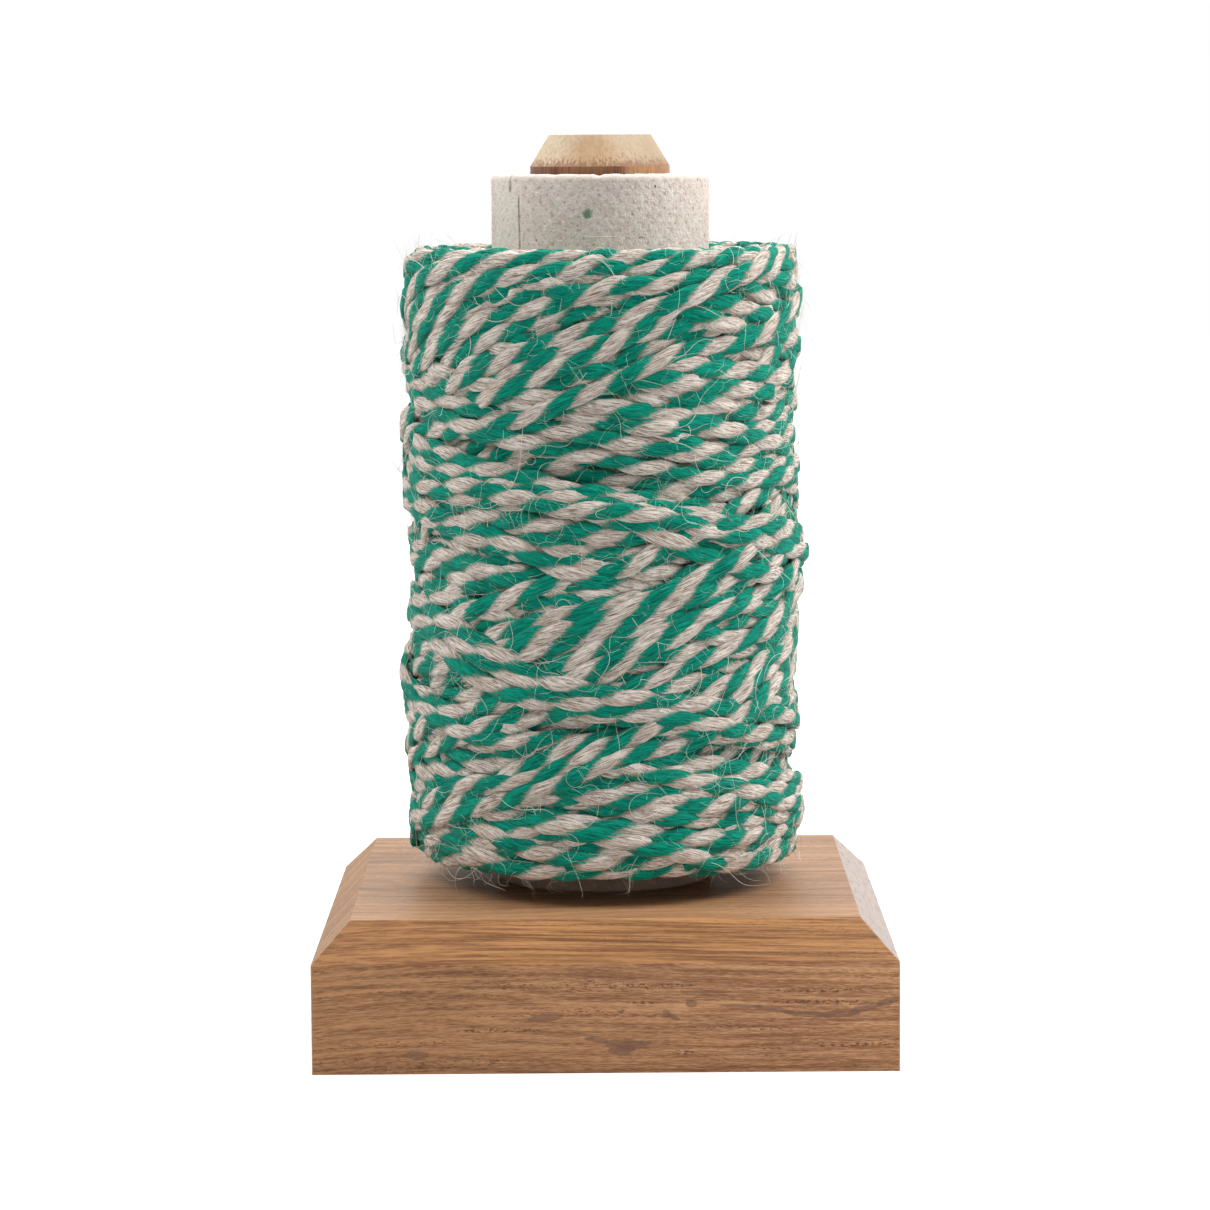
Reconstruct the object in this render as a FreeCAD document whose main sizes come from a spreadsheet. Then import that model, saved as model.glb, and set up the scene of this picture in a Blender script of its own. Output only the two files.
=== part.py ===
import FreeCAD, Part
import math
import os

import Sketcher

# Twine holder: a bevelled oak block, an upright oak spindle glued into it, and a spool
# of twine on a card tube that stands on the block and turns on the spindle.
# Millimetres, +Z up, origin at the centre of the block's underside.

SIZES = [
    ("base_side", 110.0, "side of the square block"),
    ("base_height", 28.0, "height of the block"),
    ("bevel_inset", 7.0, "how far the block's bevel comes in from each side"),
    ("bevel_drop", 7.3, "how far the block's bevel comes down from the top"),
    ("arris_round", 0.35, "sanded round on the block's edges"),
    ("seat_depth", 18.0, "depth of the blind hole that the spindle is glued into"),
    ("glue_gap", 0.05, "clearance all round between the spindle and its hole"),
    ("spindle_width", 27.3, "diameter of the dowel"),
    ("spindle_rise", 146.5, "height of the spindle above the block"),
    ("point_inset", 3.65, "how far the spindle's top bevel comes in"),
    ("point_drop", 6.1, "how far the spindle's top bevel comes down"),
    ("foot_bevel", 1.0, "small bevel on the spindle's foot, to start it in the hole"),
    ("tube_play", 2.65, "clearance all round between the spindle and the tube"),
    ("tube_wall", 5.0, "wall of the card tube"),
    ("tube_length", 139.0, "length of the card tube"),
    ("rim_bevel", 0.8, "bevel on the tube's four rims"),
    ("roll_width", 78.8, "diameter over the winding"),
    ("roll_length", 119.0, "length of the winding"),
    ("roll_lift", 5.5, "height of the winding above the tube's foot"),
    ("winding_gap", 0.05, "clearance all round between the tube and the winding"),
    ("twine_width", 4.2, "thickness of the twine"),
    ("groove_depth", 1.7, "depth of the groove between two turns"),
    ("crossing_angle", 9.0, "slope of the crossing turns, in degrees"),
    ("turn_unevenness", 0.5, "how far some turns stand out past others"),
    ("shoulder_round", 7.0, "round on the two shoulders of the winding"),
    ("turn_sides", 36.0, "flats round each turn"),
]

# How far round the spool each pair of crossing turns leans after the pair below.
# A small step keeps the turns of one lean almost parallel, as the winding machine lays them.
TURN_SPREAD = math.radians(35)

# Turns per wave of the winding's unevenness.
TURNS_PER_WAVE = 3.1


doc = FreeCAD.newDocument("twine_holder")


def make_sheet():
    """Put the driving dimensions in a sheet, one row each."""
    sheet = doc.addObject("Spreadsheet::Sheet", "sizes")
    for row, (name, value, meaning) in enumerate(SIZES, start=1):
        sheet.set(f"A{row}", meaning)
        sheet.set(f"B{row}", str(value))
        sheet.setAlias(f"B{row}", name)
    doc.recompute()
    return sheet


sheet = make_sheet()


def new_body(name, height):
    """A body whose foot is at the height given by an expression."""
    body = doc.addObject("PartDesign::Body", name)
    body.Label = name
    body.Placement = FreeCAD.Placement()
    body.setExpression(".Placement.Base.z", height)
    return body


def origin_plane(body, role):
    for feature in body.Origin.OriginFeatures:
        if feature.Role == role:
            return feature
    raise ValueError(f"{body.Name} has no {role}")


def new_sketch(body, name, role):
    sketch = body.newObject("Sketcher::SketchObject", name)
    sketch.AttachmentSupport = [(origin_plane(body, role), "")]
    sketch.MapMode = "FlatFace"
    return sketch


def add_dimension(sketch, name, kind, points, expression):
    """A named dimension between sketch points, driven by the sheet."""
    value = doc.sizes.evalExpression(expression.replace("sizes.", ""))
    index = sketch.addConstraint(Sketcher.Constraint(kind, *points, float(value)))
    sketch.renameConstraint(index, name)
    sketch.setExpression(f"Constraints.{name}", expression)


def closed_outline(sketch, corners):
    """Straight lines through the corners, joined end to end."""
    count = len(corners)
    for start, end in zip(corners, corners[1:] + corners[:1]):
        line = Part.LineSegment(FreeCAD.Vector(*start, 0), FreeCAD.Vector(*end, 0))
        sketch.addGeometry(line, False)
    for index in range(count):
        following = (index + 1) % count
        sketch.addConstraint(Sketcher.Constraint("Coincident", index, 2, following, 1))


def turned(body, sketch, name):
    """Turn a half profile once round the body's upright axis."""
    solid = body.newObject("PartDesign::Revolution", name)
    solid.Profile = sketch
    solid.ReferenceAxis = (sketch, ["V_Axis"])
    solid.Angle = 360.0
    sketch.Visibility = False
    doc.recompute()
    return solid


def edges_where(shape, wanted):
    """Names of the shape's edges that the test picks out."""
    return [f"Edge{number}" for number, edge in enumerate(shape.Edges, start=1) if wanted(edge)]


def size(name):
    return float(sheet.get(name))


def make_base_block():
    """Square block with a wide bevel round its top and a blind hole for the spindle."""
    body = new_body("base_block", "0 mm")

    # Square centred on the axis
    square = new_sketch(body, "base_square", "XY_Plane")
    half = size("base_side") / 2
    closed_outline(square, [(-half, -half), (half, -half), (half, half), (-half, half)])
    for line in (0, 2):
        square.addConstraint(Sketcher.Constraint("Horizontal", line))
    for line in (1, 3):
        square.addConstraint(Sketcher.Constraint("Vertical", line))
    square.addConstraint(Sketcher.Constraint("Symmetric", 0, 1, 2, 1, -1, 1))
    add_dimension(square, "width", "DistanceX", (0, 1, 0, 2), "sizes.base_side")
    add_dimension(square, "depth", "DistanceY", (1, 1, 1, 2), "sizes.base_side")

    block = body.newObject("PartDesign::Pad", "base_pad")
    block.Profile = square
    block.setExpression("Length", "sizes.base_height")
    doc.recompute()

    # Wide bevel on the four top edges
    top = size("base_height")
    bevel = body.newObject("PartDesign::Chamfer", "base_bevel")
    bevel.Base = (block, edges_where(block.Shape, lambda edge: edge.BoundBox.ZMin > top - 0.01))
    bevel.ChamferType = "Two distances"
    bevel.setExpression("Size", "sizes.bevel_drop")
    bevel.setExpression("Size2", "sizes.bevel_inset")
    doc.recompute()
    flat_top = max(bevel.Shape.Faces, key=lambda face: face.CenterOfMass.z)
    if abs(flat_top.BoundBox.XLength - size("base_side") + 2 * size("bevel_inset")) > 0.01:
        raise ValueError("the bevel's two distances are the wrong way round")

    # Sanded edges
    arris = body.newObject("PartDesign::Fillet", "base_arris")
    arris.Base = (bevel, edges_where(bevel.Shape, lambda edge: edge.BoundBox.ZMax > 0.01))
    arris.setExpression("Radius", "sizes.arris_round")
    doc.recompute()

    # Blind hole for the spindle
    hole = new_sketch(body, "seat_circle", "XY_Plane")
    hole.setExpression(".AttachmentOffset.Base.z", "sizes.base_height")
    circle = Part.Circle(FreeCAD.Vector(0, 0, 0), FreeCAD.Vector(0, 0, 1), size("spindle_width") / 2)
    hole.addGeometry(circle, False)
    hole.addConstraint(Sketcher.Constraint("Coincident", 0, 3, -1, 1))
    add_dimension(hole, "bore", "Diameter", (0,), "sizes.spindle_width + 2 * sizes.glue_gap")
    seat = body.newObject("PartDesign::Pocket", "spindle_seat")
    seat.Profile = hole
    seat.setExpression("Length", "sizes.seat_depth")
    doc.recompute()
    if seat.Shape.Volume > arris.Shape.Volume - 1:
        raise ValueError("the spindle's hole cuts nothing")
    return body


def make_spindle():
    """Round dowel with a bevelled top, standing on the floor of its hole."""
    body = new_body("spindle", "sizes.base_height - sizes.seat_depth")

    profile = new_sketch(body, "spindle_profile", "XZ_Plane")
    radius = size("spindle_width") / 2
    length = size("seat_depth") + size("spindle_rise")
    closed_outline(profile, [
        (0, 0),
        (radius - size("foot_bevel"), 0),
        (radius, size("foot_bevel")),
        (radius, length - size("point_drop")),
        (radius - size("point_inset"), length),
        (0, length),
    ])
    profile.addConstraint(Sketcher.Constraint("Coincident", 0, 1, -1, 1))
    for line in (0, 4):
        profile.addConstraint(Sketcher.Constraint("Horizontal", line))
    for line in (2, 5):
        profile.addConstraint(Sketcher.Constraint("Vertical", line))
    full = "sizes.seat_depth + sizes.spindle_rise"
    add_dimension(profile, "radius", "DistanceX", (5, 2, 2, 1), "sizes.spindle_width / 2")
    add_dimension(profile, "height", "DistanceY", (5, 2, 5, 1), full)
    add_dimension(profile, "foot_in", "DistanceX", (1, 1, 1, 2), "sizes.foot_bevel")
    add_dimension(profile, "foot_up", "DistanceY", (1, 1, 1, 2), "sizes.foot_bevel")
    add_dimension(profile, "point_in", "DistanceX", (3, 2, 3, 1), "sizes.point_inset")
    add_dimension(profile, "point_down", "DistanceY", (3, 1, 3, 2), "sizes.point_drop")
    turned(body, profile, "spindle_turned")
    return body


def make_card_tube():
    """Card tube standing on the block, loose round the spindle."""
    body = new_body("card_tube", "sizes.base_height")

    wall = new_sketch(body, "tube_wall_profile", "XZ_Plane")
    inner = size("spindle_width") / 2 + size("tube_play")
    outer = inner + size("tube_wall")
    length = size("tube_length")
    closed_outline(wall, [(inner, 0), (outer, 0), (outer, length), (inner, length)])
    for line in (0, 2):
        wall.addConstraint(Sketcher.Constraint("Horizontal", line))
    for line in (1, 3):
        wall.addConstraint(Sketcher.Constraint("Vertical", line))
    wall.addConstraint(Sketcher.Constraint("PointOnObject", 0, 1, -1))
    bore = "sizes.spindle_width / 2 + sizes.tube_play"
    add_dimension(wall, "bore", "DistanceX", (-1, 1, 0, 1), bore)
    add_dimension(wall, "wall", "DistanceX", (0, 1, 0, 2), "sizes.tube_wall")
    add_dimension(wall, "length", "DistanceY", (1, 1, 1, 2), "sizes.tube_length")
    tube = turned(body, wall, "tube_turned")

    # Rims broken by the cutter and by handling
    rims = body.newObject("PartDesign::Chamfer", "tube_rims")
    rims.Base = (tube, edges_where(tube.Shape, lambda edge: edge.BoundBox.ZLength < 0.01))
    rims.setExpression("Size", "sizes.rim_bevel")
    doc.recompute()
    return body


def turn_of_twine(radius, foot, crown, depth, sides, start):
    """One turn as a flat-sided disc whose rim has a crown between two sloping flanks."""
    rows = []
    for reach, height in (
        (radius - depth, -foot / 2),
        (radius, -crown / 2),
        (radius, crown / 2),
        (radius - depth, foot / 2),
    ):
        corners = []
        for corner in range(sides):
            angle = start + 2 * math.pi * corner / sides
            corners.append(FreeCAD.Vector(reach * math.cos(angle), reach * math.sin(angle), height))
        rows.append(corners)

    faces = []
    for low, high in zip(rows, rows[1:]):
        for corner in range(sides):
            after = (corner + 1) % sides
            loop = [low[corner], low[after], high[after], high[corner], low[corner]]
            faces.append(Part.Face(Part.makePolygon(loop)))
    for row in (rows[0], rows[-1]):
        faces.append(Part.Face(Part.makePolygon(row + row[:1])))
    return Part.Solid(Part.Shell(faces))


def flat_sided_core(radius, foot, top, sides):
    """The flat-sided drum under the outer turns, from one height to another."""
    corners = []
    for corner in range(sides):
        angle = 2 * math.pi * corner / sides
        corners.append(FreeCAD.Vector(radius * math.cos(angle), radius * math.sin(angle), foot))
    face = Part.Face(Part.makePolygon(corners + corners[:1]))
    return face.extrude(FreeCAD.Vector(0, 0, top - foot))


def shoulder_loss(room, round_radius):
    """How much narrower a turn is where it lies in the rounded shoulder."""
    if room >= round_radius:
        return 0.0
    return round_radius - math.sqrt(round_radius ** 2 - (round_radius - room) ** 2)


def make_twine_roll():
    """The winding: turns that lean one way and the other, so that they cross and overlap."""
    radius = size("roll_width") / 2 - size("turn_unevenness")
    depth = size("groove_depth")
    crown = size("twine_width") / 3
    foot = size("twine_width") * 1.5
    length = size("roll_length")
    sides = round(size("turn_sides"))

    count = round((length - foot) / size("twine_width")) + 1
    pitch = (length - foot) / (count - 1)
    turns = []
    for number in range(count):
        height = foot / 2 + number * pitch
        room = min(height, length - height)
        wave = size("turn_unevenness") * math.sin(2 * math.pi * number / TURNS_PER_WAVE)
        reach = radius + wave - shoulder_loss(room, size("shoulder_round"))
        steepest = math.degrees(math.asin(min(1.0, (room - foot / 2) / radius)))
        lean = min(size("crossing_angle"), steepest)
        if number % 2:
            lean = -lean
        spread = TURN_SPREAD * (number // 2)
        turn = turn_of_twine(reach, foot, crown, depth, sides, number % 2 * math.pi / sides)
        turn.rotate(FreeCAD.Vector(), FreeCAD.Vector(math.cos(spread), math.sin(spread), 0), lean)
        turn.translate(FreeCAD.Vector(0, 0, height))
        turns.append(turn)

    # The layers below, which show between crossing turns
    floor = flat_sided_core(radius - depth - size("turn_unevenness"), foot, length - foot, sides)
    winding = floor.multiFuse(turns)
    bore = size("spindle_width") / 2 + size("tube_play") + size("tube_wall") + size("winding_gap")
    winding = winding.cut(Part.makeCylinder(bore, length + 2, FreeCAD.Vector(0, 0, -1)))

    roll = doc.addObject("Part::Feature", "twine_roll")
    roll.Label = "twine_roll"
    roll.Shape = winding
    lift = size("base_height") + size("roll_lift")
    roll.Placement = FreeCAD.Placement(FreeCAD.Vector(0, 0, lift), FreeCAD.Rotation())
    return roll


def check_and_write(pieces):
    """Stop on a failed feature or a bad solid, then write each piece to its own file."""
    doc.recompute()
    for item in doc.Objects:
        if "Invalid" in item.State or "Error" in item.State:
            raise ValueError(f"{item.Name} failed: {item.State}")
    for piece in pieces:
        shape = piece.Shape
        if shape.isNull() or not shape.isValid() or len(shape.Solids) != 1:
            raise ValueError(f"{piece.Label} isn't one valid solid")
    os.makedirs("parts", exist_ok=True)
    for piece in pieces:
        piece.Shape.exportStep(f"parts/{piece.Label}.step")
        box = piece.Shape.BoundBox
        print(f"{piece.Label}: {box.XLength:.1f} x {box.YLength:.1f} x {box.ZLength:.1f} mm, foot at "
              f"{box.ZMin:.1f}, {piece.Shape.Volume / 1000:.1f} cm3")


pieces = [make_base_block(), make_spindle(), make_card_tube(), make_twine_roll()]
check_and_write(pieces)
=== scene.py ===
import math

import bpy
import numpy as np
from mathutils import Euler, Matrix, Vector


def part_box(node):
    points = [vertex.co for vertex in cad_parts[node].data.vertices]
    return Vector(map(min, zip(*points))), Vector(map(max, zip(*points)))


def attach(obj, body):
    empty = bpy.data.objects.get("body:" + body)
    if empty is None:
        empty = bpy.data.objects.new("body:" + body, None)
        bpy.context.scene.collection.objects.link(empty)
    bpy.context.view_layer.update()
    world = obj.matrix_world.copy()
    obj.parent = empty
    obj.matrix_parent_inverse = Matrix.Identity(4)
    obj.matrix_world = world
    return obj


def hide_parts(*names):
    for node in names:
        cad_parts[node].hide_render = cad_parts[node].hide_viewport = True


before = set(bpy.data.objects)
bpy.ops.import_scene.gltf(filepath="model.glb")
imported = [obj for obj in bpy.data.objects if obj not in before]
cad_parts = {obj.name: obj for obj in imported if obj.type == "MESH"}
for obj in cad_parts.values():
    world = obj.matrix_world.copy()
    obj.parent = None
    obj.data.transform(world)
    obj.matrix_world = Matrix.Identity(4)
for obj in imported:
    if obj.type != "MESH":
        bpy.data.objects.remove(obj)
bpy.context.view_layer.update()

MM = 0.001
TURN = 2 * math.pi

# What the frame says about the roll and the tube, in metres
ROLL_LOW, ROLL_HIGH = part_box("twine_roll")
TUBE_LOW, TUBE_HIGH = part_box("card_tube")
BLOCK_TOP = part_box("base_block")[1].z
ROLL_RADIUS = ROLL_HIGH.x
TUBE_RADIUS = TUBE_HIGH.x

# The twine: two plies, one green and one undyed, laid together and pressed flat. Width and height
# are how closely it packs, and a ply's reach and waist are its section's half width and half thickness
TWINE_WIDTH = 2.85 * MM
TWINE_HEIGHT = 2.3 * MM
TWIST_PITCH = 13.0 * MM
TWIST_WOBBLE = 0.9
PLY_REACH = 1.98 * MM
PLY_WAIST = 1.45 * MM
CROWN_LIMIT = 0.95 * MM
LAY_HAND = -1
PLY_LEAN = math.radians(25)
CORNERS_ROUND = 12
RING_SPACING = 1.35 * MM

# The winding: the guide runs up and down while the spool turns, in bands of parallel turns
PASSES = 94
STEP = 0.45 * MM
TURNS_THERE_AND_BACK = (3, 4, 4, 5, 5, 6)
RISING_SHARE = 0.39
CYCLES_IN_A_BAND = (2, 5)
STARTS_TRIED = 24
LONGEST_WAIT = 34 * MM
END_SCATTER = 7 * MM
REVERSAL_SHARE = 0.08
SETTLING_ROUNDS = 10
SETTLING_STEP = 1.6
WIDEST_SLIP = 2.8 * MM
STIFFNESS = 34
BRIDGE_RADIUS = 12 * MM
BRIDGE_REACH = 6 * MM
SINKING = 0.30
PRESSED_SHARE = 0.55
BROAD_REACH = 9 * MM
BROAD_SHARE = 0.22
SHOULDER_ROUND = 5 * MM
SHOULDER_DROP = 1.3 * MM
HIDDEN_DEPTH = 1.15 * MM
DIVE_LENGTH = 7 * MM
DIVE_DEPTH = 2.4 * MM
BURIED_MARGIN = 6 * MM
SHORTEST_RUN = 12
END_ZONE = 5 * MM
CENTRE_EASE = 14 * MM
TWIST_EASE = 70 * MM
MOST_FACES = 190_000

# The tube's embossing, measured from one bump to the next along a row
EMBOSS_PITCH = 2.7 * MM

rng = np.random.default_rng(20)


def from_hex(text):
    """A colour written as a maker's swatch, as the linear values that a shader takes."""
    swatch = [int(text[at:at + 2], 16) / 255 for at in (1, 3, 5)]
    linear = [v / 12.92 if v <= 0.04045 else ((v + 0.055) / 1.055) ** 2.4 for v in swatch]
    return (*linear, 1.0)


# Shader helpers

def fill(tree, node, inputs):
    """Fill or link a node's inputs."""
    for name, value in inputs.items():
        socket = node.inputs[name]
        if isinstance(value, bpy.types.NodeSocket):
            tree.links.new(value, socket)
        else:
            socket.default_value = value
    return node


def add(tree, kind, inputs=None, **settings):
    """Place a node, set its settings, and fill or link its inputs."""
    node = tree.nodes.new(kind)
    for name, value in settings.items():
        setattr(node, name, value)
    return fill(tree, node, inputs or {})


def sums(tree, operation, first, second=0.0, third=0.0):
    return add(tree, "ShaderNodeMath", {0: first, 1: second, 2: third}, operation=operation).outputs[0]


def times(tree, product, *factors):
    """The product of several values."""
    for factor in factors:
        product = sums(tree, "MULTIPLY", product, factor)
    return product


def less(tree, value, whole=1.0):
    """What a value leaves of the whole."""
    return sums(tree, "SUBTRACT", whole, value)


def swayed(tree, value, pattern, amount):
    """A value that a pattern moves up and down, by the amount in all."""
    return sums(tree, "MULTIPLY_ADD", sums(tree, "SUBTRACT", pattern, 0.5), amount, value)


def measured(tree, operation, *vectors):
    """A length, a distance or a dot product."""
    node = add(tree, "ShaderNodeVectorMath", dict(enumerate(vectors)), operation=operation)
    return node.outputs["Value"]


def split(tree, vector):
    """A vector's X, Y and Z."""
    return add(tree, "ShaderNodeSeparateXYZ", {0: vector}).outputs


def own_place(tree):
    """The position on the piece."""
    return add(tree, "ShaderNodeTexCoord").outputs["Object"]


def stored(tree, name):
    """A vector that the mesh stores for each point."""
    return add(tree, "ShaderNodeAttribute", attribute_name=name).outputs["Vector"]


def stretch(tree, vector, scale, turn=(0, 0, 0), shift=(0, 0, 0)):
    """The position, turned, shifted and stretched, to read a pattern by."""
    inputs = {"Vector": vector, "Scale": scale, "Rotation": turn, "Location": shift}
    return add(tree, "ShaderNodeMapping", inputs).outputs[0]


def noise(tree, vector, scale=1.0, detail=3.0, roughness=0.5):
    inputs = {"Vector": vector, "Scale": scale, "Detail": detail, "Roughness": roughness}
    return add(tree, "ShaderNodeTexNoise", inputs).outputs[0]


def between(tree, value, low, high):
    """0 below low, 1 above high and a soft step from one to the other."""
    inputs = {"Value": value, "From Min": low, "From Max": high}
    return add(tree, "ShaderNodeMapRange", inputs, interpolation_type="SMOOTHSTEP").outputs[0]


def below(tree, value, low, high):
    """1 below low, 0 above high and a soft step from one to the other."""
    return less(tree, between(tree, value, low, high))


def blend_colours(tree, share, first, second, way="MIX"):
    node = add(tree, "ShaderNodeMix", {0: share, 6: first, 7: second}, data_type="RGBA", blend_type=way)
    return node.outputs[2]


def shaded(tree, value, low, high, first, second):
    """One swatch below low, another above high, and their blend between."""
    return blend_colours(tree, between(tree, value, low, high), from_hex(first), from_hex(second))


def tinted(tree, colour, swatch, *shares):
    """The colour, turned towards a swatch by the product of the shares."""
    return blend_colours(tree, times(tree, *shares), colour, from_hex(swatch))


def new_group(name, inputs, outputs):
    """An empty node group with named sockets."""
    group = bpy.data.node_groups.new(name, "ShaderNodeTree")
    for label, kind, value in inputs:
        socket = group.interface.new_socket(label, in_out="INPUT", socket_type=f"NodeSocket{kind}")
        if value is not None:
            socket.default_value = value
    for label, kind in outputs:
        group.interface.new_socket(label, in_out="OUTPUT", socket_type=f"NodeSocket{kind}")
    start = group.nodes.new("NodeGroupInput")
    end = group.nodes.new("NodeGroupOutput")
    return group, start.outputs, end.inputs


def new_material(name):
    material = bpy.data.materials.new(name)
    material.use_nodes = True
    tree = material.node_tree
    return material, tree, tree.nodes["Principled BSDF"]


def use_group(tree, group, inputs):
    return add(tree, "ShaderNodeGroup", inputs, node_tree=group).outputs


def bump(tree, height, strength, distance):
    inputs = {"Height": height, "Strength": strength, "Distance": distance}
    return add(tree, "ShaderNodeBump", inputs).outputs[0]


# Node groups that several finishes share

def make_oak_figure():
    """Oak's figure for a position in metres whose X runs along the grain."""
    group, given, made = new_group(
        "oak_figure",
        [("Position", "Vector", None), ("Across Grain", "Float", 0.0), ("Ring Spacing", "Float", 0.0017),
         ("Early Wood", "Color", from_hex("#9A6E47")), ("Late Wood", "Color", from_hex("#BD9167")),
         ("End Grain", "Color", from_hex("#D6BB94")), ("Pores", "Color", from_hex("#55301C"))],
        [("Color", "Color"), ("Height", "Float"), ("Roughness", "Float"), ("Streaks", "Float")],
    )
    place = given["Position"]

    # Growth rings round a heart that lies outside the piece
    drift = noise(group, stretch(group, place, (7, 30, 30)))
    from_heart = stretch(group, place, (0, 1, 1), shift=(0, -0.035, 0.115))
    radius = swayed(group, measured(group, "LENGTH", from_heart), drift, 0.016)
    ring = sums(group, "FRACT", sums(group, "DIVIDE", radius, given["Ring Spacing"]))
    late = times(group, between(group, ring, 0.1, 0.7), below(group, ring, 0.82, 1.0))

    # Fine fibres, streaks of two lengths, and broad changes of tone
    fibres = noise(group, stretch(group, place, (520, 5600, 5600)), detail=2.0, roughness=0.6)
    short_streaks = noise(group, stretch(group, place, (45, 2300, 2300)), roughness=0.6)
    long_streaks = noise(group, stretch(group, place, (9, 620, 620)), detail=6.0, roughness=0.72)
    tone = noise(group, stretch(group, place, (7, 130, 130)), detail=2.0)
    shade = sums(group, "MULTIPLY_ADD", late, 0.12, 0.45)
    for part, weight in ((long_streaks, 0.9), (short_streaks, 0.75), (fibres, 0.95), (tone, 0.6)):
        shade = swayed(group, shade, part, weight)
    wood = blend_colours(group, between(group, shade, 0.12, 0.86), given["Early Wood"], given["Late Wood"])
    streaks = sums(group, "MULTIPLY_ADD", short_streaks, 0.6, times(group, long_streaks, 0.4))

    # Open pores: short dark dashes that stand in rows
    in_rows = noise(group, stretch(group, place, (22, 520, 520), shift=(0.1, 0.2, 0.3)))
    dashes = noise(group, stretch(group, place, (1150, 3300, 3300)), detail=1.0)
    pores = times(group, between(group, in_rows, 0.5, 0.62), between(group, dashes, 0.57, 0.64))
    wood = blend_colours(group, times(group, pores, 0.6), wood, given["Pores"])

    # Sanded end grain is paler, with rays, faint rings and its pores as dots
    end_share = between(group, given["Across Grain"], 0.2, 0.75)
    dots = between(group, noise(group, stretch(group, place, (300, 2300, 2300))), 0.55, 0.66)
    rays = between(group, noise(group, stretch(group, place, (40, 160, 1500))), 0.5, 0.64)
    end_wood = given["End Grain"]
    for part, weight, name in ((rays, 0.22, "Early Wood"), (late, 0.16, "Early Wood"), (dots, 0.3, "Pores")):
        end_wood = blend_colours(group, times(group, part, weight), end_wood, given[name])
    wood = blend_colours(group, times(group, end_share, 0.9), wood, end_wood)

    depth = sums(group, "MULTIPLY_ADD", pores, -1.0, times(group, fibres, 0.45))
    rough = sums(group, "MULTIPLY_ADD", short_streaks, 0.2, 0.36)
    rough = sums(group, "MULTIPLY_ADD", end_share, 0.38, rough)
    for value, name in ((wood, "Color"), (depth, "Height"), (rough, "Roughness"), (streaks, "Streaks")):
        group.links.new(value, made[name])
    return group


def make_fibre_fleck():
    """Fine fibres and soft mottling, for card and for twine."""
    group, given, made = new_group(
        "fibre_fleck",
        [("Position", "Vector", None), ("Fibre Scale", "Float", 2200.0), ("Mottle Scale", "Float", 300.0)],
        [("Fibres", "Float"), ("Mottle", "Float")],
    )
    fine = noise(group, given["Position"], given["Fibre Scale"], roughness=0.65)
    broad = noise(group, given["Position"], given["Mottle Scale"], detail=2.0)
    group.links.new(fine, made["Fibres"])
    group.links.new(broad, made["Mottle"])
    return group


OAK_FIGURE = make_oak_figure()
FIBRE_FLECK = make_fibre_fleck()


# Finishes

def oak_parts(name):
    """An empty oak finish with the piece's own position and the direction that each place faces."""
    material, tree, skin = new_material(name)
    coordinates = add(tree, "ShaderNodeTexCoord").outputs
    return material, tree, skin, coordinates["Object"], coordinates["Normal"]


def facing_along(tree, normal, axis):
    """How squarely a place faces along an axis, from 0 to 1."""
    return sums(tree, "ABSOLUTE", measured(tree, "DOT_PRODUCT", normal, axis))


def finish_oak(tree, skin, colour, figure):
    fill(tree, skin, {"Base Color": colour, "Roughness": figure["Roughness"], "Specular IOR Level": 0.35,
                      "Normal": bump(tree, figure["Height"], 0.35, 0.10 * MM)})


# Rows of open pores on the block's front face: place across, height, half length, all in mm
FRONT_PORES = [
    (39.8, 15.4, 10.0), (39.0, 13.3, 9.3), (45.4, 5.1, 9.5), (14.2, 3.8, 2.7),
    (6.8, 13.3, 3.0), (9.5, 16.6, 7.5), (-20.0, 8.2, 9.0),
]

# Ray flecks on the block's front face: place across, height, half length, half height, tilt in degrees
FRONT_FLECKS = [
    (25.5, 12.6, 4.4, 0.38, -2), (31.0, 12.0, 4.4, 0.42, -7), (37.5, 11.0, 5.0, 0.6, -5),
    (43.5, 11.0, 4.0, 0.7, 2), (48.6, 12.0, 3.4, 0.6, 13), (53.0, 13.3, 3.0, 0.6, 14),
    (3.8, 5.4, 4.4, 1.0, 0), (2.9, 4.3, 2.4, 1.0, 0), (-1.9, 6.4, 2.2, 0.55, -8),
    (11.3, 11.2, 0.8, 0.75, -40), (12.6, 10.6, 1.5, 0.45, -25), (15.9, 13.2, 1.3, 0.8, -15),
    (18.8, 15.3, 5.0, 0.35, 0), (-10.9, 10.6, 3.3, 0.72, 5), (-35.5, 3.6, 2.5, 0.8, 0),
]
PORE_HALF_HEIGHT = 0.42


def around_spot(tree, place, across, up, half_length, half_height, tilt):
    """How far a place on the front is from a spot's centre, where 1 is the edge of its long oval."""
    centre = (across * MM, 0, up * MM)
    moved = add(tree, "ShaderNodeVectorMath", {0: place, 1: centre}, operation="SUBTRACT").outputs[0]
    turned = stretch(tree, moved, (1, 0, 1), turn=(0, math.radians(tilt), 0))
    oval = stretch(tree, turned, (1 / (half_length * MM), 0, 1 / (half_height * MM)))
    return measured(tree, "LENGTH", oval)


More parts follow.
